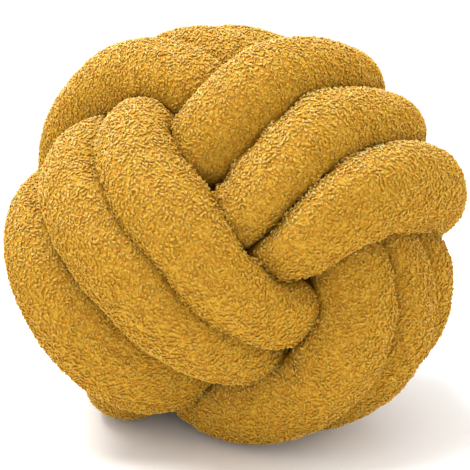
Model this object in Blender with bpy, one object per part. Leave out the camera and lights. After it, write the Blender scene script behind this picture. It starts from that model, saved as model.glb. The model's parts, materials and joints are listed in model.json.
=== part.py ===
"""Knot cushion: one long stuffed tube, wound into a ball as a three-strand fist knot.

The tube makes three bands, square to each other. A band is three turns of the tube, side by side. Each
band passes over the band before it and under the band after it, so six faces of three strands cover the
ball, and the tube goes from band to band inside it. Its two ends are sewn together in the core, so the
tube is one closed ring. Where strands lie against each other, the soft tube is pressed flat halfway
between them, and the ball is pressed flat on the floor. The surface is that of the looped pile.

Lengths are in metres and +Z is up. The origin is on the floor, under the middle of the ball.
"""

import math
from typing import NamedTuple

import bpy
import numpy as np
from mathutils import Euler

# The winding, along a band's own axes: over (to the middle of its outer side), under and lane
OVER_REACH = 0.117  # ball centre to centre line, where a band lies outside
OVER_REACH_SIDE = 0.115  # the same for the first and last of a band's turns
UNDER_REACH = 0.080  # ball centre to centre line, where a band passes under the next
UNDER_REACH_SIDE = 0.075
SQUARENESS = 2.7  # power of the superellipse that a turn follows
LANE = 0.040  # from one turn of a band to the next
BANDS = 3
TURNS = 3
LANE_CHANGE = 0.30  # share of a turn in which the tube moves one lane over, inside the ball
FIRST_ANGLE = math.radians(-62)  # where a band comes out of the core, from its over axis
LAST_ANGLE = math.radians(-118) + 2 * math.pi * TURNS  # where it goes back in
POINTS_A_BAND = 170

# The stuffed tube
OUTER_RADIUS = 0.029
INNER_RADIUS = 0.0255  # pulled tighter, inside the ball
SWELL_FROM = 0.35  # it widens from here to there, as it comes from under (0) to over (1)
SWELL_TO = 0.75
CREASE_GAP = 0.0030  # between two strands that press on each other
HIDDEN_SLACK = 0.30  # share by which a strand keeps further back inside the ball
BEND_SHARE = 0.8  # on the inside of a bend, the tube reaches this far to the bend's centre
LEAST_REACH = 0.07  # from the centre line, as a share of the radius
SAME_STRAND = 2.5 * OUTER_RADIUS  # points nearer along the tube than this don't press on each other
NEIGHBOURHOOD = 4.0 * OUTER_RADIUS  # points further off than this can't press on each other

# How the ball stands
TILT = math.radians(-50)
TURN = math.radians(-127.5)
SAG = 0.886  # height of the soft ball as a share of its width
FLOOR_PRESS = 0.012  # how far its underside is pressed flat

# Fineness
SIDES = 14
OUTER_STEP = 0.0135  # from ring to ring of the mesh, outside and inside the ball
INNER_STEP = 0.018
FINE_STEP = 0.0025  # from point to point of the centre line
BEND_STEPS = 4  # points over which a bend is measured
ROUNDING = 0.012  # the corners of the route are rounded over this length

BOUCLE_COLOUR = (0.56, 0.29, 0.045, 1.0)
BOUCLE_ROUGHNESS = 0.95


class Stray(NamedTuple):
    """How far a strand strays from its even lane on one face, in metres towards the next lane.

    Shift moves the whole strand. Slant, bow and hook are the reach of a straight, a hollow and an
    S-shaped stray at STRAY_SPAN from the strand's middle. Lift moves the strand outwards, and run moves
    it along its own way. Fullness is what it is thicker by, in radius.
    """

    shift: float = 0.0
    slant: float = 0.0
    bow: float = 0.0
    hook: float = 0.0
    lift: float = 0.0
    run: float = 0.0
    fullness: float = 0.0


STRAY_SPAN = 0.064
STRAY_FROM = 0.20  # a strand strays from here to there, as it comes from under (0) to over (1)
STRAY_TO = 0.85

# A face of the ball is one end of a band's over axis.
FRONT_LEFT = (0, +1)
LOWER_RIGHT = (1, +1)
UPPER_LEFT = (1, -1)
UPPER_RIGHT = (2, +1)
UNDERSIDE = (2, -1)

# The strays that show, by face and lane
STRAYS = {
    FRONT_LEFT: {
        +1: Stray(shift=0.002, slant=0.005, bow=-0.009, hook=-0.006, lift=-0.007, run=0.005),
        0: Stray(shift=0.008, slant=0.009, bow=-0.008, hook=-0.003, lift=-0.003, run=0.002, fullness=0.003),
        -1: Stray(shift=-0.009, slant=-0.007, bow=-0.002, hook=-0.001, lift=0.001),
    },
    LOWER_RIGHT: {
        +1: Stray(shift=-0.002, slant=-0.006, bow=-0.005, hook=-0.001, lift=0.003),
        0: Stray(shift=-0.004, slant=0.002, bow=0.001, hook=0.001, lift=0.007),
        -1: Stray(shift=-0.002, slant=0.003, bow=-0.002, lift=-0.001),
    },
    UPPER_RIGHT: {
        +1: Stray(shift=0.002, slant=-0.004, bow=0.004, hook=0.002, lift=-0.003),
        0: Stray(slant=-0.012, bow=0.006, hook=0.028, lift=-0.007, fullness=0.0015),
        -1: Stray(shift=-0.002, slant=-0.015, bow=0.001, hook=0.026, lift=-0.006),
    },
    UPPER_LEFT: {
        +1: Stray(slant=0.006, run=-0.006),
        0: Stray(slant=0.005, lift=0.001),
        -1: Stray(lift=0.008),
    },
    UNDERSIDE: {
        +1: Stray(shift=0.011, bow=0.001, lift=0.015),
    },
}

# From the end of a band to the start of the next, the tube goes through the core past these places,
# given along the first band's over, under and lane axes.
CORE_ROUTE = np.array(
    [
        (-0.028, -0.055, 0.045),
        (-0.015, -0.020, 0.040),
        (-0.025, 0.000, 0.010),
        (-0.030, 0.000, -0.035),
        (-0.038, 0.015, -0.062),
    ]
)


def smoothstep(low, high, x):
    """Rises smoothly from 0 to 1 as x goes from low to high."""
    x = np.clip((x - low) / (high - low), 0.0, 1.0)
    return x * x * (3.0 - 2.0 * x)


def to_knot_axes(points, band):
    """Turns points along a band's over, under and lane axes to those of the first band."""
    return np.roll(points, band, axis=1)


def lane_of(angle):
    """The lane in which the tube lies at an angle: -1, 0 or +1, and between them while it moves over."""
    turn = (angle + math.pi / 2) / (2 * math.pi)
    lane = np.full_like(angle, -1.0)
    for change in range(1, TURNS):
        lane += smoothstep(change - LANE_CHANGE / 2, change + LANE_CHANGE / 2, turn)
    return lane


def band_route(band):
    """The turns of one band, with two more columns.

    They are how far out each point lies, 0 for under and 1 for over, and the strand's fullness there.
    """
    angle = np.linspace(FIRST_ANGLE, LAST_ANGLE, POINTS_A_BAND)
    lane = lane_of(angle)
    outness = np.abs(np.cos(angle))
    over_reach = OVER_REACH + (OVER_REACH_SIDE - OVER_REACH) * np.abs(lane)
    under_reach = UNDER_REACH + (UNDER_REACH_SIDE - UNDER_REACH) * np.abs(lane)
    shape = (outness / over_reach) ** SQUARENESS + (np.abs(np.sin(angle)) / under_reach) ** SQUARENESS
    reach = shape ** (-1.0 / SQUARENESS)
    over = reach * np.cos(angle)
    under = reach * np.sin(angle)
    across = LANE * lane
    u = under / STRAY_SPAN
    fullness = np.zeros_like(angle)
    for (stray_band, end), strands in STRAYS.items():
        if stray_band != band:
            continue
        for strand_lane, stray in strands.items():
            middle = 2 * math.pi * (strand_lane + 1) + (0.0 if end > 0 else math.pi)
            nearness = np.cos(np.clip(angle - middle, -math.pi, math.pi))
            weight = smoothstep(STRAY_FROM, STRAY_TO, nearness)
            across = across + weight * (stray.shift + stray.slant * u + stray.bow * u**2 + stray.hook * u**3)
            over = over + weight * end * stray.lift
            under = under + weight * stray.run
            fullness = fullness + weight * stray.fullness
    turns = to_knot_axes(np.stack([over, under, across], axis=1), band)
    return np.column_stack([turns, outness, fullness])


def resample(columns, position, count):
    """Reads a closed run of values at even places along its length."""
    places = np.arange(count) * (position[-1] / count)
    return np.stack([np.interp(places, position, column) for column in columns.T], axis=1)


def round_off(columns):
    """Rounds the corners of a closed run of values that are FINE_STEP apart."""
    half = int(3 * ROUNDING / FINE_STEP)
    offsets = np.arange(-half, half + 1)
    weights = np.exp(-0.5 * (offsets * FINE_STEP / ROUNDING) ** 2)
    weights /= weights.sum()
    return sum(weight * np.roll(columns, -offset, axis=0) for offset, weight in zip(offsets, weights))


def centre_line():
    """The tube's closed centre line in fine steps along the knot's axes, and its radius at each point."""
    stretches = []
    for band in range(BANDS):
        core = to_knot_axes(CORE_ROUTE, band)
        stretches += [band_route(band), np.column_stack([core, np.zeros((len(core), 2))])]
    route = np.vstack(stretches + [stretches[0][:1]])
    steps = np.linalg.norm(np.diff(route[:, :3], axis=0), axis=1)
    position = np.concatenate([[0.0], np.cumsum(steps)])
    route = round_off(resample(route, position, round(position[-1] / FINE_STEP)))
    swell = smoothstep(SWELL_FROM, SWELL_TO, route[:, 3])
    return route[:, :3], INNER_RADIUS + (OUTER_RADIUS - INNER_RADIUS) * swell + route[:, 4]


def hiddenness(radius):
    """How much of a strand's swelling is missing: 1 inside the ball, 0 outside."""
    return np.clip((OUTER_RADIUS - radius) / (OUTER_RADIUS - INNER_RADIUS), 0.0, 1.0)


def stand_up(points):
    """Turns the knot's axes to the way the ball stands, and lets it sag."""
    turned = points @ np.array(Euler((TILT, 0.0, TURN)).to_matrix()).T
    return turned * (1.0, 1.0, SAG)


def ring_places(radii):
    """Which points of the centre line carry a ring of the mesh: closer together outside the ball."""
    steps = OUTER_STEP + (INNER_STEP - OUTER_STEP) * hiddenness(radii)
    rings_so_far = np.cumsum(FINE_STEP / steps)
    count = int(rings_so_far[-1])
    return np.searchsorted(rings_so_far, np.arange(count) * rings_so_far[-1] / count)


def round_tube(name, points, radii):
    """A round tube along a closed line, as a mesh whose vertices come ring by ring."""
    curve = bpy.data.curves.new(name, "CURVE")
    curve.dimensions = "3D"
    curve.bevel_depth = OUTER_RADIUS
    curve.bevel_resolution = (SIDES - 4) // 2
    spline = curve.splines.new("POLY")
    spline.points.add(len(points) - 1)
    for spline_point, point, radius in zip(spline.points, points, radii):
        spline_point.co = (*point, 1.0)
        spline_point.radius = radius / OUTER_RADIUS
    spline.use_cyclic_u = True
    holder = bpy.data.objects.new(name, curve)
    bpy.context.scene.collection.objects.link(holder)
    depsgraph = bpy.context.evaluated_depsgraph_get()
    mesh = bpy.data.meshes.new_from_object(holder.evaluated_get(depsgraph))
    bpy.data.objects.remove(holder)
    bpy.data.curves.remove(curve)
    return mesh


def bends(points):
    """The curvature of the closed centre line at each point, as a vector to the inside of the bend."""
    ahead = np.roll(points, -BEND_STEPS, axis=0)
    behind = np.roll(points, BEND_STEPS, axis=0)
    return (ahead - 2.0 * points + behind) / (BEND_STEPS * FINE_STEP) ** 2


def reach_to_strands(ray, centre, radius, others, other_radii):
    """How far a ray from the centre line goes before it meets the plane halfway to another strand."""
    offsets = others - centre
    facing = offsets @ ray
    met = facing > 0.0
    squares = np.sum(offsets[met] ** 2, axis=1) + radius**2 - other_radii[met] ** 2
    nearest = np.min(squares / (2.0 * facing[met]), initial=math.inf)
    return nearest * (1.0 - HIDDEN_SLACK * hiddenness(radius)) - CREASE_GAP / 2.0


def press_together(rings, line, radii, places):
    """Draws the rings of a round tube in, to where their neighbouring strands press them flat."""
    line_bends = bends(line)
    numbers = np.arange(len(line))
    for ring, place in zip(rings, places):
        centre = line[place]
        radius = radii[place]
        apart = np.abs(numbers - place)
        apart = np.minimum(apart, len(line) - apart) * FINE_STEP
        near = np.linalg.norm(line - centre, axis=1) < NEIGHBOURHOOD
        others = near & (apart > SAME_STRAND)
        for side, vertex in enumerate(ring):
            ray = vertex - centre
            reach = np.linalg.norm(ray)
            ray = ray / reach
            reach = min(reach, reach_to_strands(ray, centre, radius, line[others], radii[others]))
            inward = line_bends[place] @ ray
            if inward > 0.0:
                reach = min(reach, BEND_SHARE / inward)
            ring[side] = centre + ray * max(reach, LEAST_REACH * radius)
    return rings


def press_on_floor(rings, centres):
    """Draws what is under the floor up to it, and moves the ball to stand on z = 0 about the Z axis."""
    floor = rings[..., 2].min() + FLOOR_PRESS
    centres = centres[:, None, :]
    rays = rings - centres
    below = rings[..., 2] < floor
    drop = np.where(below, -rays[..., 2], 1.0)
    share = np.where(below, (centres[..., 2] - floor) / drop, 1.0)
    rings = centres + rays * share[..., None]
    rings[below, 2] = floor
    low = rings.min(axis=(0, 1))
    high = rings.max(axis=(0, 1))
    return rings - ((low[0] + high[0]) / 2.0, (low[1] + high[1]) / 2.0, floor)


def boucle_material():
    """Mustard looped-pile cloth."""
    material = bpy.data.materials.new("mustard_boucle")
    material.use_nodes = True
    shader = material.node_tree.nodes["Principled BSDF"]
    shader.inputs["Base Color"].default_value = BOUCLE_COLOUR
    shader.inputs["Roughness"].default_value = BOUCLE_ROUGHNESS
    shader.inputs["Metallic"].default_value = 0.0
    return material


def make_knot_tube(collection):
    """The whole cushion: the tube along its centre line, pressed against itself and on the floor.

    The tube starts as a bevelled curve. Its sections become unlike each other when they are pressed, so
    that is done vertex by vertex.
    """
    line, radii = centre_line()
    line = stand_up(line)
    places = ring_places(radii)
    mesh = round_tube("knot_tube", line[places], radii[places])
    rings = np.empty(len(mesh.vertices) * 3)
    mesh.vertices.foreach_get("co", rings)
    rings = rings.reshape(len(places), -1, 3)
    rings = press_together(rings, line, radii, places)
    rings = press_on_floor(rings, line[places])
    mesh.vertices.foreach_set("co", rings.ravel())
    mesh.update()
    mesh.shade_smooth()
    mesh.materials.clear()
    mesh.materials.append(boucle_material())
    collection.objects.link(bpy.data.objects.new("knot_tube", mesh))


def main():
    for old in list(bpy.data.objects):
        bpy.data.objects.remove(old)
    collection = bpy.data.collections.new("knot_cushion")
    bpy.context.scene.collection.children.link(collection)
    make_knot_tube(collection)


main()
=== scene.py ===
"""The looks of the knot cushion: a stuffed tube of mustard looped-pile cloth in a three-strand knot.

The CAD solid gives the form of the tube. A slimmer copy of it is the ground of the cloth, and the pile lies
over that ground as many small curls of yarn. They are left out where strands press together. Lengths are in
metres and +Z is up, as in the frame.
"""

import json
import logging
import math
from dataclasses import dataclass, field
from enum import Enum
from typing import Any, Optional, Union

import bmesh
import bpy
import numpy as np
from mathutils import Euler, Matrix, Vector, noise
from mathutils.bvhtree import BVHTree

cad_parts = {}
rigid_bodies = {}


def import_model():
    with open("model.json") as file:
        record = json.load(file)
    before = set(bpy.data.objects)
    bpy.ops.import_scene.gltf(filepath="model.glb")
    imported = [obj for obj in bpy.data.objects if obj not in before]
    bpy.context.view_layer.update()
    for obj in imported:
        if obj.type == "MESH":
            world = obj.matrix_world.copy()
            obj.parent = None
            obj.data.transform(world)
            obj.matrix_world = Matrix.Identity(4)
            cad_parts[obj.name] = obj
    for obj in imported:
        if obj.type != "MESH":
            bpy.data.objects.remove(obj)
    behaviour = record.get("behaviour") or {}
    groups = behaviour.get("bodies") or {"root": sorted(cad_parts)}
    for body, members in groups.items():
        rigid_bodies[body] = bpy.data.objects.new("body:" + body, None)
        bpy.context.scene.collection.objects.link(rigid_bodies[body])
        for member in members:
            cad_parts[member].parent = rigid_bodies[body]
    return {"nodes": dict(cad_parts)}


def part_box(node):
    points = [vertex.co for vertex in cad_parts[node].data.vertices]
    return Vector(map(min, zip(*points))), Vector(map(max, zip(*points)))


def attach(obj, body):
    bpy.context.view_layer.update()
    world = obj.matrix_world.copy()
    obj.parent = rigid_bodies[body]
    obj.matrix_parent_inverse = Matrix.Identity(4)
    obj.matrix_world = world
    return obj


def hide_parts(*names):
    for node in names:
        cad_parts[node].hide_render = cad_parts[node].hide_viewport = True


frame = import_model()

LOG = logging.getLogger("knot_cushion")
MM = 0.001
BODY = "root"
TUBE_NODE = "knot_tube"
OPENNESS = "openness"  # 0 deep between strands, 1 where nothing is near
TIP = "tip"  # 0 at a curl's root, 1 at its top
SHADE = "shade"  # one random number for each curl
PAINTED_LIGHT = "faded"  # painted light: 1 where the cloth faces the light, 0 where it is turned well away
KNOT_FACE = "knot_face"  # the number of the knot's face that a polygon lies on
AVERAGE = 0.5  # of noise, and of a random number from 0 to 1
GOLDEN_TURN = math.pi * (3.0 - math.sqrt(5.0))  # from ray to ray, for rays spread evenly over a dome

Colour = tuple[float, float, float, float]
Place = tuple[float, float, float]
Settings = dict[str, Any]
Sockets = dict[Union[int, str], Any]


class KnotFace(Enum):
    """The six faces of the knot, each of three strands: the knot's axis that it crosses, and the side."""

    FRONT_LEFT = (0, 1)
    BACK_RIGHT = (0, -1)
    LOWER_RIGHT = (1, 1)
    UPPER_LEFT = (1, -1)
    UPPER_RIGHT = (2, 1)
    UNDERSIDE = (2, -1)


class CurlShape(Enum):
    """The shapes that a loop of the pile curls into: arc, radius of the arc and sideways drift."""

    HOOK = (math.radians(190), 1.10 * MM, 0.6 * MM)
    RING = (math.radians(235), 0.95 * MM, 1.1 * MM)
    CREST = (math.radians(165), 1.30 * MM, 0.4 * MM)


class Value:
    """A shader socket in a Python sum: each operator adds a Math node."""

    def __init__(self, board: "NodeBoard", socket: bpy.types.NodeSocket) -> None:
        """Wraps a socket.

        Args:
            board: the node tree that the socket belongs to.
            socket: an output socket that carries a value.
        """
        self.board = board
        self.socket = socket

    def _sum(self, operation: str, first: Any, second: Any) -> "Value":
        """Adds a Math node.

        Args:
            operation: the Math node's operation.
            first: the first term, a Value or a number.
            second: the second term, a Value or a number.

        Returns:
            The result.
        """
        node = self.board.add("ShaderNodeMath", {"operation": operation}, {0: first, 1: second})
        return Value(self.board, node.outputs[0])

    def __add__(self, other: Any) -> "Value":
        """Adds."""
        return self._sum("ADD", self, other)

    def __radd__(self, other: Any) -> "Value":
        """Adds to a number."""
        return self._sum("ADD", other, self)

    def __sub__(self, other: Any) -> "Value":
        """Subtracts."""
        return self._sum("SUBTRACT", self, other)

    def __rsub__(self, other: Any) -> "Value":
        """Subtracts from a number."""
        return self._sum("SUBTRACT", other, self)

    def __mul__(self, other: Any) -> "Value":
        """Multiplies."""
        return self._sum("MULTIPLY", self, other)

    def __rmul__(self, other: Any) -> "Value":
        """Multiplies a number."""
        return self._sum("MULTIPLY", other, self)

    def __pow__(self, other: Any) -> "Value":
        """Raises to a power."""
        return self._sum("POWER", self, other)

    def __abs__(self) -> "Value":
        """Takes off the sign."""
        node = self.board.add("ShaderNodeMath", {"operation": "ABSOLUTE"}, {0: self})
        return Value(self.board, node.outputs[0])

    def clamped(self) -> "Value":
        """Keeps the value between 0 and 1."""
        return Value(self.board, self.board.add("ShaderNodeClamp", {}, {"Value": self}).outputs[0])


class NodeBoard:
    """A tree of nodes, of a material or of Geometry Nodes."""

    def __init__(self, tree: bpy.types.NodeTree) -> None:
        """Takes a tree to add nodes to."""
        self.tree = tree

    def add(self, kind: str, settings: Settings, sockets: Sockets) -> bpy.types.Node:
        """Adds a node.

        Args:
            kind: the node's type.
            settings: its properties, which are set first.
            sockets: what goes into its sockets, by name or number: a Value, a socket or a plain value.

        Returns:
            The node.
        """
        node = self.tree.nodes.new(kind)
        for name, setting in settings.items():
            setattr(node, name, setting)
        for name, value in sockets.items():
            if isinstance(value, Value):
                value = value.socket
            if isinstance(value, bpy.types.NodeSocket):
                self.tree.links.new(value, node.inputs[name])
            else:
                node.inputs[name].default_value = value
        return node


class MaterialBoard(NodeBoard):
    """The nodes of one material."""

    FIRST_COLOUR = 6  # sockets of a Mix node, by number because their names repeat
    SECOND_COLOUR = 7
    MIXED_COLOUR = 2

    def __init__(self, name: str) -> None:
        """Starts a material with no nodes.

        Args:
            name: the material's name.
        """
        self.material = bpy.data.materials.new(name)
        self.material.use_nodes = True
        super().__init__(self.material.node_tree)
        self.tree.nodes.clear()

    def attribute(self, name: str) -> Value:
        """Reads a value that the mesh holds for each point."""
        node = self.add("ShaderNodeAttribute", {"attribute_name": name}, {})
        return Value(self, node.outputs["Fac"])

    def mix(self, share: Any, first: Any, second: Any, blend: str = "MIX") -> bpy.types.NodeSocket:
        """Mixes two colours.

        Args:
            share: how much of the second colour.
            first: the first colour.
            second: the second colour.
            blend: the blend type.

        Returns:
            The mixed colour's socket.
        """
        settings = {"data_type": "RGBA", "blend_type": blend}
        sockets = {0: share, self.FIRST_COLOUR: first, self.SECOND_COLOUR: second}
        node = self.add("ShaderNodeMix", settings, sockets)
        return node.outputs[self.MIXED_COLOUR]

    def grain(self, size: float, detail: float = 2.0, roughness: float = 0.5) -> Value:
        """Adds noise in the object's own coordinates.

        Args:
            size: about how far apart its lumps are.
            detail: how many finer layers it has.
            roughness: how strong those are.

        Returns:
            The noise, about 0.5 on average.
        """
        place = self.add("ShaderNodeTexCoord", {}, {}).outputs["Object"]
        sockets = {"Vector": place, "Scale": 1.0 / size, "Detail": detail, "Roughness": roughness}
        node = self.add("ShaderNodeTexNoise", {"noise_dimensions": "3D"}, sockets)
        return Value(self, node.outputs["Fac"])

    def finish(self, shader: bpy.types.Node) -> bpy.types.Material:
        """Links the shader to the material's surface."""
        self.add("ShaderNodeOutputMaterial", {}, {"Surface": shader.outputs[0]})
        return self.material


def placed(name: str, data: Any) -> bpy.types.Object:
    """Puts an object in the scene, at the origin and unturned.

    Args:
        name: its name.
        data: its mesh, light or camera.

    Returns:
        The object.
    """
    thing = bpy.data.objects.new(name, data)
    bpy.context.scene.collection.objects.link(thing)
    return thing


def store(mesh: bpy.types.Mesh, name: str, values: np.ndarray) -> None:
    """Stores a number for each point of a mesh, for its material or its pile to read."""
    mesh.attributes.new(name, "FLOAT", "POINT").data.foreach_set("value", values)


@dataclass(frozen=True)
class BoucleFinish:
    """The dyed yarn of the cloth: what it looks like on the ground, at a curl's root and at its top, with
    painted shade low down and in the creases and painted light on the tops.
    """

    # painted shade: the ground is darker than the curls, as cloth in their shade
    ground: Colour = (0.33, 0.135, 0.002, 1.0)
    # painted shade: a curl's root is darker than its tip, as low among the other curls
    root: Colour = (0.35, 0.155, 0.003, 1.0)
    tip: Colour = (0.485, 0.286, 0.024, 1.0)
    pale: Colour = (0.70, 0.555, 0.22, 1.0)  # painted light: the paler colour of a curl's top where the cloth faces the light
    deep: Colour = (0.12, 0.05, 0.012, 1.0)  # painted shade: what the colour is multiplied by deep between strands
    shelter_power: float = 3.0  # the higher, the nearer the painted shade keeps to the creases
    roughness: float = 0.58
    ground_unevenness: float = 0.08  # of the roughness
    curl_unevenness: float = 0.15
    specular: float = 0.12
    sheen: float = 0.22  # of the curls; the ground has none
    sheen_roughness: float = 0.35
    sheen_tint: Colour = (1.0, 0.85, 0.4, 1.0)
    spread: float = 0.75  # the share of the light that spreads inside the yarn
    spread_depth: float = 1.0 * MM
    spread_colours: Place = (1.0, 0.55, 0.15)  # how far red, green and blue go, in spread depths
    patch_size: float = 22 * MM  # the dye's slow changes
    patch_light: float = 0.4  # each light is how much its noise or attribute moves the colour to the tip's
    squiggle_size: float = 3.0 * MM  # the turns of the looped yarn
    squiggle_roughness: float = 0.6
    squiggle_steepness: float = 7.0  # the higher, the narrower its ridges
    squiggle_light: float = 0.8
    squiggle_share: float = 0.85  # of the ground's height; the fibres have the rest
    squiggle_depth: float = 0.6 * MM
    fibre_size: float = 0.45 * MM
    fibre_detail: float = 3.0
    fibre_light: float = 0.3
    fibre_depth: float = 0.25 * MM
    # painted shade and light: how far a curl goes from the darker root colour, low among the other curls,
    # to the lighter tip colour at its top
    tip_light: float = 0.75
    curl_light: float = 0.35
    least_painted_light: float = 0.15  # of the painted light, on the curls in the light
    painted_light_range: float = 0.6

    def _shader(
        self, board: MaterialBoard, colour: Any, rough: Value, sheen: float, height: Value, depth: float
    ) -> bpy.types.Node:
        """Adds the shader that both finishes share.

        Args:
            board: the material's nodes.
            colour: the colour's socket.
            rough: the roughness.
            sheen: the weight of the sheen.
            height: the height for the bump.
            depth: the bump's distance.

        Returns:
            The Principled node.
        """
        raised = board.add("ShaderNodeBump", {}, {"Strength": 1.0, "Distance": depth, "Height": height})
        sockets = {
            "Base Color": colour,
            "Roughness": rough,
            "Specular IOR Level": self.specular,
            "Sheen Weight": sheen,
            "Sheen Roughness": self.sheen_roughness,
            "Sheen Tint": self.sheen_tint,
            "Subsurface Weight": self.spread,
            "Subsurface Radius": self.spread_colours,
            "Subsurface Scale": self.spread_depth,
            "Normal": raised.outputs["Normal"],
        }
        return board.add("ShaderNodeBsdfPrincipled", {}, sockets)

    def _sheltered(self, board: MaterialBoard, colour: Any) -> bpy.types.NodeSocket:
        """Darkens a colour deep between strands, where little light comes in.

        Args:
            board: the material's nodes.
            colour: the colour's socket.

        Returns:
            The darkened colour's socket.
        """
        shelter = (1.0 - board.attribute(OPENNESS)) ** self.shelter_power
        deep = board.mix(shelter, (1.0, 1.0, 1.0, 1.0), self.deep)
        return board.mix(1.0, colour, deep, "MULTIPLY")

    def _squiggles(self, board: MaterialBoard) -> Value:
        """Makes curly ridges as of packed loops of yarn: 1 along a ridge, 0 in the gaps."""
        turns = board.grain(self.squiggle_size, 1.0, self.squiggle_roughness)
        return (1.0 - abs(turns - AVERAGE) * self.squiggle_steepness).clamped()

    def ground_cloth(self) -> bpy.types.Material:
        """Makes the cloth between the curls: lower loops of the same yarn, with dark gaps; the dark of the
        gaps and of the ground is painted shade.

        Returns:
            The material.
        """
        board = MaterialBoard("boucle_ground")
        loops = self._squiggles(board)
        fibres = board.grain(self.fibre_size)
        # painted shade: the gaps between the ground's loops keep the dark ground colour, the ridges go
        # towards the tip's
        light = loops * self.squiggle_light + fibres * self.fibre_light
        colour = self._sheltered(board, board.mix(light, self.ground, self.tip))
        rough = self.roughness + self.ground_unevenness * (fibres - AVERAGE)
        height = loops * self.squiggle_share + fibres * (1.0 - self.squiggle_share)
        return board.finish(self._shader(board, colour, rough, 0.0, height, self.squiggle_depth))

    def curl_yarn(self) -> bpy.types.Material:
        """Makes the yarn of the curls: painted shade at the root and painted light at the top, more where
        the cloth faces the light, no two curls quite alike, and fibres in it.

        Returns:
            The material.
        """
        board = MaterialBoard("boucle_curls")
        fibres = board.grain(self.fibre_size, self.fibre_detail)
        patches = board.grain(self.patch_size)
        # painted shade at a curl's root and painted light at its top, with each curl's own random tone
        light = board.attribute(TIP) * self.tip_light + (board.attribute(SHADE) - AVERAGE) * self.curl_light
        light = light + (patches - AVERAGE) * self.patch_light + (fibres - AVERAGE) * self.fibre_light
        colour = board.mix(light.clamped(), self.root, self.tip)
        # painted light: curl tops where the cloth faces the light are mixed towards the pale colour
        faded = self.least_painted_light + board.attribute(SHADE) * self.painted_light_range
        faded = board.attribute(PAINTED_LIGHT) * board.attribute(TIP) * faded
        colour = self._sheltered(board, board.mix(faded, colour, self.pale))
        rough = self.roughness + self.curl_unevenness * (fibres - AVERAGE)
        return board.finish(self._shader(board, colour, rough, self.sheen, fibres, self.fibre_depth))


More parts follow.
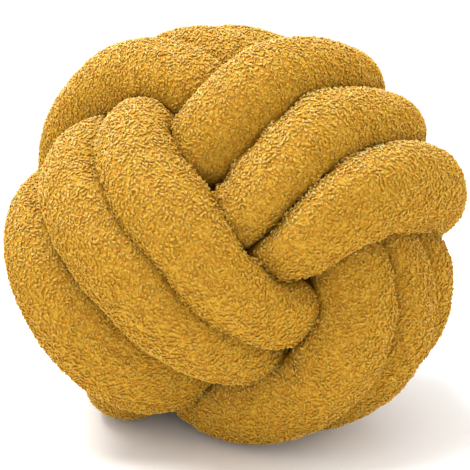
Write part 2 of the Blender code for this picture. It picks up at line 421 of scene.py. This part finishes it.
@dataclass
class StuffedTube:
    """The filled tube: the ground of its cloth, which the pile stands on."""

    name: str = "knot_cloth"
    pile_depth: float = 1.6 * MM  # the solid reaches to the top of the pile
    weld: float = 0.02 * MM  # points of the solid that are nearer than this are one
    levels: int = 1
    lump_size: float = 34 * MM  # the filling's lumps
    lump_height: float = 0.9 * MM
    pucker_size: float = 11 * MM  # the cloth's own small waves
    pucker_height: float = 0.35 * MM
    fill: float = 0.85
    press_rounds: int = 5
    press_reach: float = 18 * MM  # strands further apart don't press
    press_facing: float = 0.25  # how squarely two strands face each other to press
    press_softness: int = 2  # how often a round's swelling is evened out
    most_swell: float = 1.6 * MM  # in one round
    crease_gap: float = 1.2 * MM  # what stays between pressed strands
    rays: int = 24  # from each point, to find how open it lies
    ray_reach: float = 45 * MM
    ray_start: float = 1.2 * MM  # off the cloth, to miss its own faces
    light_way: Place = (-0.35, 0.05, 0.93)  # towards the light that is painted onto the cloth facing it
    painted_light_from: float = 0.25  # how squarely the cloth faces the light where the painted light starts
    painted_light_to: float = 0.95
    knot_turn: Place = (math.radians(-50), 0.0, math.radians(-127.5))  # from an upright knot to this one
    finish: BoucleFinish = BoucleFinish()
    piece: Optional[bpy.types.Object] = None  # once it is built

    def _copy_of_solid(self) -> bpy.types.Mesh:
        """Copies the CAD node's mesh, with its points merged and its triangles paired.

        Returns:
            The copy.
        """
        shape = bmesh.new()
        shape.from_mesh(frame["nodes"][TUBE_NODE].data)
        bmesh.ops.remove_doubles(shape, verts=shape.verts, dist=self.weld)
        bmesh.ops.join_triangles(
            shape,
            faces=shape.faces,
            angle_face_threshold=math.pi,
            angle_shape_threshold=math.pi,
        )
        mesh = bpy.data.meshes.new(self.name)
        shape.to_mesh(mesh)
        shape.free()
        return mesh

    def _rounded(self, mesh: bpy.types.Mesh) -> bpy.types.Mesh:
        """Subdivides the mesh.

        Args:
            mesh: the coarse mesh.

        Returns:
            The fine mesh.
        """
        holder = placed(self.name, mesh)
        rounding = holder.modifiers.new("rounding", "SUBSURF")
        rounding.levels = self.levels
        rounding.render_levels = self.levels
        ready = holder.evaluated_get(bpy.context.evaluated_depsgraph_get())
        fine = bpy.data.meshes.new_from_object(ready)
        bpy.data.objects.remove(holder)
        return fine

    def _lump(self, place: Vector) -> float:
        """How far the filling swells or sinks the cloth at a place."""
        slow = noise.noise(place / self.lump_size) * self.lump_height
        return slow + noise.noise(place / self.pucker_size) * self.pucker_height

    def _slimmed(self, mesh: bpy.types.Mesh) -> None:
        """Moves each point in by the depth of the pile, and gives the surface its slight lumps.

        Args:
            mesh: the fine mesh, which is changed.
        """
        shape = bmesh.new()
        shape.from_mesh(mesh)
        shape.normal_update()
        normals = [vertex.normal.copy() for vertex in shape.verts]
        for vertex, normal in zip(shape.verts, normals):
            vertex.co += normal * (self._lump(vertex.co) - self.pile_depth)
        shape.to_mesh(mesh)
        shape.free()

    def _swelling(self, shape: bmesh.types.BMesh) -> np.ndarray:
        """Finds how far each point may swell towards a strand that faces it.

        Args:
            shape: the tube, with its normals up to date.

        Returns:
            A distance for each point, 0 where no strand is near.
        """
        walls = BVHTree.FromBMesh(shape)
        swell = np.zeros(len(shape.verts))
        for number, vertex in enumerate(shape.verts):
            start = vertex.co + vertex.normal * self.ray_start
            _, facing, _, gap = walls.ray_cast(start, vertex.normal, self.press_reach)
            if facing is not None and facing.dot(vertex.normal) < -self.press_facing:
                spare = gap + self.ray_start - self.crease_gap
                swell[number] = min(max(spare / 2.0, 0.0), self.most_swell)
        return swell

    def _pressed(self, mesh: bpy.types.Mesh) -> None:
        """Swells the tube where two strands face each other, until their cloth almost touches.

        Args:
            mesh: the fine mesh, which is changed.
        """
        edges = np.empty(len(mesh.edges) * 2, np.int32)
        mesh.edges.foreach_get("vertices", edges)
        edges = edges.reshape(-1, 2)
        neighbours = np.maximum(np.bincount(edges.ravel(), minlength=len(mesh.vertices)), 1)
        for _ in range(self.press_rounds):
            shape = bmesh.new()
            shape.from_mesh(mesh)
            shape.normal_update()
            swell = self._swelling(shape)
            for _ in range(self.press_softness):
                total = np.zeros_like(swell)
                np.add.at(total, edges[:, 0], swell[edges[:, 1]])
                np.add.at(total, edges[:, 1], swell[edges[:, 0]])
                swell = (swell + total / neighbours) / 2.0
            for vertex, reach in zip(shape.verts, swell):
                vertex.co += vertex.normal * reach
            shape.to_mesh(mesh)
            shape.free()

    def _sky(self) -> list[Vector]:
        """Spreads rays over the dome above +Z, more of them near its top.

        Returns:
            The rays' directions.
        """
        sky = []
        for number in range(self.rays):
            height = math.sqrt((number + 0.5) / self.rays)
            flat = math.sqrt(1.0 - height * height)
            turn = number * GOLDEN_TURN
            sky.append(Vector((flat * math.cos(turn), flat * math.sin(turn), height)))
        return sky

    def _mark_openness(self, mesh: bpy.types.Mesh) -> None:
        """Stores at each point how much of what is above it is open air.

        Args:
            mesh: the finished shape, which gets the attribute.
        """
        shape = bmesh.new()
        shape.from_mesh(mesh)
        walls = BVHTree.FromBMesh(shape)
        sky = self._sky()
        open_shares = np.empty(len(shape.verts), np.float32)
        for number, vertex in enumerate(shape.verts):
            stand = vertex.normal.to_track_quat("Z", "Y")
            start = vertex.co + vertex.normal * self.ray_start
            free = sum(walls.ray_cast(start, stand @ ray, self.ray_reach)[0] is None for ray in sky)
            open_shares[number] = free / self.rays
        shape.free()
        store(mesh, OPENNESS, open_shares)

    def _mark_painted_light(self, mesh: bpy.types.Mesh) -> None:
        """Stores at each point how much painted light the cloth gets, by how squarely it faces the light.

        Args:
            mesh: the finished shape, which gets the attribute.
        """
        normals = np.empty(len(mesh.vertices) * 3, np.float32)
        mesh.vertex_normals.foreach_get("vector", normals)
        to_light = normals.reshape(-1, 3) @ np.array(self.light_way, np.float32)
        faded = np.clip((to_light - self.painted_light_from) / (self.painted_light_to - self.painted_light_from), 0.0, 1.0)
        store(mesh, PAINTED_LIGHT, faded)

    def _mark_faces(self, mesh: bpy.types.Mesh) -> None:
        """Stores for each polygon which face of the knot it lies on.

        Args:
            mesh: the finished shape, which gets the attribute.
        """
        centres = np.empty(len(mesh.polygons) * 3)
        mesh.polygons.foreach_get("center", centres)
        low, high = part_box(TUBE_NODE)
        middle = np.array((low + high) / 2.0)
        sag = (high.z - low.z) / (high.x - low.x)
        upright = (centres.reshape(-1, 3) - middle) / (1.0, 1.0, sag)
        on_axes = upright @ np.array(Euler(self.knot_turn).to_matrix())
        reaches = np.stack([on_axes[:, axis] * side for axis, side in (face.value for face in KnotFace)])
        numbers = np.argmax(reaches, axis=0).astype(np.int32)
        mesh.attributes.new(KNOT_FACE, "INT", "FACE").data.foreach_set("value", numbers)

    def build(self) -> bpy.types.Object:
        """Makes the cloth's ground.

        Returns:
            The piece, which replaces the CAD solid.
        """
        mesh = self._rounded(self._copy_of_solid())
        self._slimmed(mesh)
        self._pressed(mesh)
        self._mark_openness(mesh)
        self._mark_painted_light(mesh)
        self._mark_faces(mesh)
        mesh.shade_smooth()
        self.piece = placed(self.name, mesh)
        return self.piece

    def dress(self) -> None:
        """Gives the ground its finish and its place in the frame."""
        self.piece.data.materials.clear()
        self.piece.data.materials.append(self.finish.ground_cloth())
        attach(self.piece, BODY)
        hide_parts(TUBE_NODE)


@dataclass
class Pile:
    """The curls of yarn over the cloth, one piece for each face of the knot."""

    cloth: StuffedTube
    spacing: float = 1.75 * MM  # least distance from curl to curl
    tries: float = 1.0e6  # places tried a square metre
    yarn: float = 1.2 * MM  # thickness of the looped yarn
    yarn_sides: int = 3
    arc_steps: int = 3
    sunk: float = 0.5 * MM  # how far a curl's ends reach into the ground
    smallest: float = 0.75  # curl, to the sizes in CurlShape
    largest: float = 1.45
    lean: float = math.radians(32)  # at most, each way
    least_openness: float = 0.30  # where the pile starts
    seed: int = 11
    finish: BoucleFinish = BoucleFinish()
    pieces: list[bpy.types.Object] = field(default_factory=list)

    def _curl(self, shape: CurlShape) -> bpy.types.Object:
        """Makes one curl on the origin, rising along +Z.

        Args:
            shape: which way it curls.

        Returns:
            An object that holds it, for the scattering to copy.
        """
        arc, radius, drift = shape.value
        curl = bmesh.new()
        low_end = (math.pi - arc) / 2.0
        centre = Vector((0.0, 0.0, -radius * math.sin(low_end) - self.sunk))
        start = Matrix.Translation(centre) @ Matrix.Rotation(-low_end, 4, "Y")
        start = start @ Matrix.Translation((radius, 0.0, 0.0))
        bmesh.ops.create_circle(
            curl, cap_ends=False, segments=self.yarn_sides, radius=self.yarn / 2.0, matrix=start
        )
        bmesh.ops.spin(
            curl,
            geom=curl.verts[:] + curl.edges[:],
            cent=centre,
            axis=(0.0, -1.0, 0.0),
            dvec=(0.0, drift / self.arc_steps, 0.0),
            angle=arc,
            steps=self.arc_steps,
            use_merge=False,
            use_normal_flip=False,
            use_duplicate=False,
        )
        bmesh.ops.translate(curl, verts=curl.verts, vec=(0.0, -drift / 2.0, 0.0))
        curl.verts.ensure_lookup_table()
        for ring in (curl.verts[: self.yarn_sides], curl.verts[-self.yarn_sides :]):
            middle = sum((vertex.co for vertex in ring), Vector()) / self.yarn_sides
            bmesh.ops.pointmerge(curl, verts=ring, merge_co=middle)
        bmesh.ops.recalc_face_normals(curl, faces=curl.faces)
        mesh = bpy.data.meshes.new(f"curl_{shape.name.lower()}")
        curl.to_mesh(mesh)
        curl.free()
        heights = np.array([vertex.co.z for vertex in mesh.vertices], np.float32)
        rise = np.clip(heights / heights.max(), 0.0, 1.0)
        store(mesh, TIP, rise)
        mesh.shade_smooth()
        return bpy.data.objects.new(mesh.name, mesh)

    def _chance(self, board: NodeBoard, kind: str, low: Any, high: Any, draw: int) -> bpy.types.NodeSocket:
        """Adds a random value for each point.

        Args:
            board: the nodes to add it to.
            kind: FLOAT or FLOAT_VECTOR.
            low: the least value.
            high: the greatest value.
            draw: the draw's number, which is added to the pile's seed.

        Returns:
            The value's socket.
        """
        first_input, output = {"FLOAT": (2, 1), "FLOAT_VECTOR": (0, 0)}[kind]
        sockets = {first_input: low, first_input + 1: high, "Seed": self.seed + draw}
        node = board.add("FunctionNodeRandomValue", {"data_type": kind}, sockets)
        return node.outputs[output]

    def _wanted(self, board: NodeBoard, face_number: int) -> bpy.types.NodeSocket:
        """Adds the choice of where the pile grows: on one face of the knot, and not deep between strands.

        Args:
            board: the nodes to add it to.
            face_number: the face's number.

        Returns:
            The choice's socket.
        """
        number = board.add("GeometryNodeInputNamedAttribute", {"data_type": "INT"}, {"Name": KNOT_FACE})
        on_face = board.add(
            "FunctionNodeCompare",
            {"data_type": "INT", "operation": "EQUAL"},
            {2: number.outputs[0], 3: face_number},
        )
        openness = board.add("GeometryNodeInputNamedAttribute", {"data_type": "FLOAT"}, {"Name": OPENNESS})
        in_open = board.add(
            "FunctionNodeCompare",
            {"data_type": "FLOAT", "operation": "GREATER_THAN"},
            {0: openness.outputs[0], 1: self.least_openness},
        )
        both = {0: on_face.outputs[0], 1: in_open.outputs[0]}
        return board.add("FunctionNodeBooleanMath", {"operation": "AND"}, both).outputs[0]

    def _scattering(self, curls: bpy.types.Collection, face_number: int) -> bpy.types.NodeTree:
        """Makes the nodes that lay the curls over one face of the knot.

        Args:
            curls: the shapes of curl.
            face_number: the face's number.

        Returns:
            The geometry nodes.
        """
        tree = bpy.data.node_groups.new(f"scattering_{face_number}", "GeometryNodeTree")
        tree.interface.new_socket("Geometry", in_out="INPUT", socket_type="NodeSocketGeometry")
        tree.interface.new_socket("Geometry", in_out="OUTPUT", socket_type="NodeSocketGeometry")
        board = NodeBoard(tree)
        points = board.add(
            "GeometryNodeDistributePointsOnFaces",
            {"distribute_method": "POISSON"},
            {
                "Mesh": board.add("NodeGroupInput", {}, {}).outputs[0],
                "Selection": self._wanted(board, face_number),
                "Distance Min": self.spacing,
                "Density Max": self.tries,
                "Seed": self.seed + face_number,
            },
        )
        most = (self.lean, self.lean, math.pi)
        least = tuple(-angle for angle in most)
        angles = self._chance(board, "FLOAT_VECTOR", least, most, 1)
        lean = board.add("FunctionNodeEulerToRotation", {}, {0: angles})
        turned = board.add(
            "FunctionNodeRotateRotation",
            {"rotation_space": "LOCAL"},
            {0: points.outputs["Rotation"], 1: lean.outputs[0]},
        )
        shapes = board.add(
            "GeometryNodeCollectionInfo",
            {"transform_space": "ORIGINAL"},
            {"Collection": curls, "Separate Children": True, "Reset Children": True},
        )
        laid = board.add(
            "GeometryNodeInstanceOnPoints",
            {},
            {
                "Points": points.outputs["Points"],
                "Instance": shapes.outputs[0],
                "Pick Instance": True,
                "Rotation": turned.outputs[0],
                "Scale": self._chance(board, "FLOAT", self.smallest, self.largest, 2),
            },
        )
        shade = self._chance(board, "FLOAT", 0.0, 1.0, 3)
        stored = board.add(
            "GeometryNodeStoreNamedAttribute",
            {"data_type": "FLOAT", "domain": "INSTANCE"},
            {"Geometry": laid.outputs[0], "Name": SHADE, "Value": shade},
        )
        real = board.add("GeometryNodeRealizeInstances", {}, {0: stored.outputs[0]})
        board.add("NodeGroupOutput", {}, {0: real.outputs[0]})
        return tree

    def _laid_on(self, face: KnotFace, number: int, curls: bpy.types.Collection) -> bpy.types.Object:
        """Lays the curls over one face of the knot.

        Args:
            face: the face.
            number: its number.
            curls: the shapes of curl.

        Returns:
            The piece, a plain mesh.
        """
        name = f"pile_{face.name.lower()}"
        holder = placed(name, self.cloth.piece.data)
        scatter = holder.modifiers.new("scatter", "NODES")
        scatter.node_group = self._scattering(curls, number)
        ready = holder.evaluated_get(bpy.context.evaluated_depsgraph_get())
        mesh = bpy.data.meshes.new_from_object(ready)
        bpy.data.objects.remove(holder)
        places = np.empty(len(mesh.vertices) * 3, np.float32)
        mesh.vertices.foreach_get("co", places)
        places[2::3] = np.maximum(places[2::3], 0.0)  # the pile under the cushion is pressed flat
        mesh.vertices.foreach_set("co", places)
        mesh.update()
        mesh.name = name
        return placed(name, mesh)

    def build(self) -> list[bpy.types.Object]:
        """Makes the pile of each face.

        Returns:
            The pieces.
        """
        curls = bpy.data.collections.new("curls")
        for shape in CurlShape:
            curls.objects.link(self._curl(shape))
        self.pieces = [self._laid_on(face, number, curls) for number, face in enumerate(KnotFace)]
        for curl in list(curls.objects):
            bpy.data.objects.remove(curl)
        bpy.data.collections.remove(curls)
        return self.pieces

    def dress(self) -> None:
        """Gives the pile its finish and its place in the frame."""
        material = self.finish.curl_yarn()
        for piece in self.pieces:
            piece.data.materials.clear()
            piece.data.materials.append(material)
            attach(piece, BODY)


@dataclass(frozen=True)
class SoftLamp:
    """A wide round lamp that shines on the cushion."""

    name: str
    place: Place
    size: float
    power: float


@dataclass
class Studio:
    """A pale floor, soft light from all round, and the camera at the photograph's angle."""

    floor_size: float = 400.0
    floor_grey: float = 0.98
    floor_roughness: float = 0.9
    air_grey: float = 1.0
    air_strength: float = 1.12
    lamps: tuple[SoftLamp, ...] = (
        SoftLamp("key_lamp", (-0.5, -0.1, 1.5), 1.1, 34.0),
        SoftLamp("fill_lamp", (0.2, -1.4, 0.05), 1.2, 13.0),
        SoftLamp("side_lamp", (1.3, 0.45, 0.45), 0.8, 3.0),
    )
    aim: Place = (-0.002, 0.0, 0.119)  # what the lamps and the camera point at
    camera_distance: float = 0.706
    camera_elevation: float = math.radians(10)
    lens: float = 85.0
    sensor: float = 36.0

    def _floor(self) -> None:
        """Lays the floor."""
        shape = bmesh.new()
        bmesh.ops.create_grid(shape, x_segments=1, y_segments=1, size=self.floor_size / 2.0)
        mesh = bpy.data.meshes.new("studio_floor")
        shape.to_mesh(mesh)
        shape.free()
        board = MaterialBoard("studio_floor")
        grey = (self.floor_grey, self.floor_grey, self.floor_grey, 1.0)
        sockets = {"Base Color": grey, "Roughness": self.floor_roughness}
        shader = board.add("ShaderNodeBsdfPrincipled", {}, sockets)
        mesh.materials.append(board.finish(shader))
        placed("studio_floor", mesh)

    def _air(self) -> None:
        """Lights the scene evenly from all round."""
        world = bpy.data.worlds.new("studio_air")
        world.use_nodes = True
        background = world.node_tree.nodes["Background"]
        background.inputs["Color"].default_value = (self.air_grey, self.air_grey, self.air_grey, 1.0)
        background.inputs["Strength"].default_value = self.air_strength
        bpy.context.scene.world = world

    def _hang(self, lamp: SoftLamp) -> None:
        """Hangs one lamp and turns it to the cushion.

        Args:
            lamp: the lamp.
        """
        light = bpy.data.lights.new(lamp.name, "AREA")
        light.shape = "DISK"
        light.size = lamp.size
        light.energy = lamp.power
        holder = placed(lamp.name, light)
        holder.location = lamp.place
        holder.rotation_euler = (Vector(self.aim) - holder.location).to_track_quat("-Z", "Y").to_euler()

    def _camera(self) -> None:
        """Sets up the camera in front of the cushion, a little above it."""
        view = bpy.data.cameras.new("camera")
        view.lens = self.lens
        view.sensor_width = self.sensor
        camera = placed("camera", view)
        back = Vector((0.0, -math.cos(self.camera_elevation), math.sin(self.camera_elevation)))
        camera.location = Vector(self.aim) + back * self.camera_distance
        camera.rotation_euler = (-back).to_track_quat("-Z", "Y").to_euler()
        bpy.context.scene.camera = camera

    def build(self) -> None:
        """Sets up all of it."""
        self._floor()
        self._air()
        for lamp in self.lamps:
            self._hang(lamp)
        self._camera()
        bpy.context.scene.view_settings.view_transform = "Standard"


def report_piece(piece: bpy.types.Object) -> None:
    """Logs a piece's name and how many triangles it has."""
    triangles = sum(len(face.vertices) - 2 for face in piece.data.polygons)
    LOG.info("%s: %d triangles", piece.name, triangles)


def main() -> None:
    logging.basicConfig(level=logging.INFO, format="%(name)s: %(message)s")
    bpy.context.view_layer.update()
    Studio().build()
    cloth = StuffedTube()
    report_piece(cloth.build())
    cloth.dress()
    pile = Pile(cloth)
    for piece in pile.build():
        report_piece(piece)
    pile.dress()


if __name__ == "__main__":
    main()
